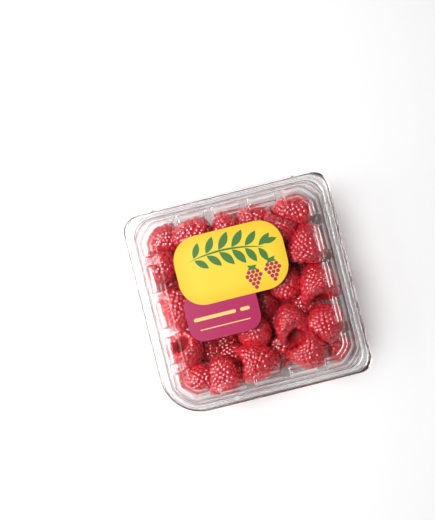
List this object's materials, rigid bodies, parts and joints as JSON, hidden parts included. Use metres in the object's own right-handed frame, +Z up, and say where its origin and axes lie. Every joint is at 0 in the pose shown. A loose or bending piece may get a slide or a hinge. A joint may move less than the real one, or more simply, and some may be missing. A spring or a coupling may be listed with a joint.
{
  "type": "punnet of raspberries",
  "caption": "Square clear plastic punnet with a hinged lid, full of fresh red raspberries, with a plain sticker on the lid.",
  "frame": {"origin": "centre of the bounding box on the surface that the punnet stands on", "axes": "+Z up, +Y towards the hinge, -Y towards the opening edge, +X to the right as seen from the opening edge"},
  "size_m": [0.127, 0.1252, 0.043],
  "materials": {
    "clear_plastic": "clear, glossy, thin pressed sheet",
    "fruit": "soft, moist, finely hairy fruit skin",
    "sticker": "satin printed sticker"
  },
  "bodies": {
    "tray": {"tray": "clear_plastic", "berries": "fruit", "hinge": "clear_plastic"},
    "lid": {"lid": "clear_plastic", "sticker": "sticker"}
  },
  "joints": [
    {"name": "lid_hinge", "type": "hinge", "parent": "tray", "child": "lid", "pos_m": [0, 0.06195, 0.03318], "axis": [-1, 0, 0], "range_deg": [0, 180], "deforming": ["hinge"]}
  ]
}
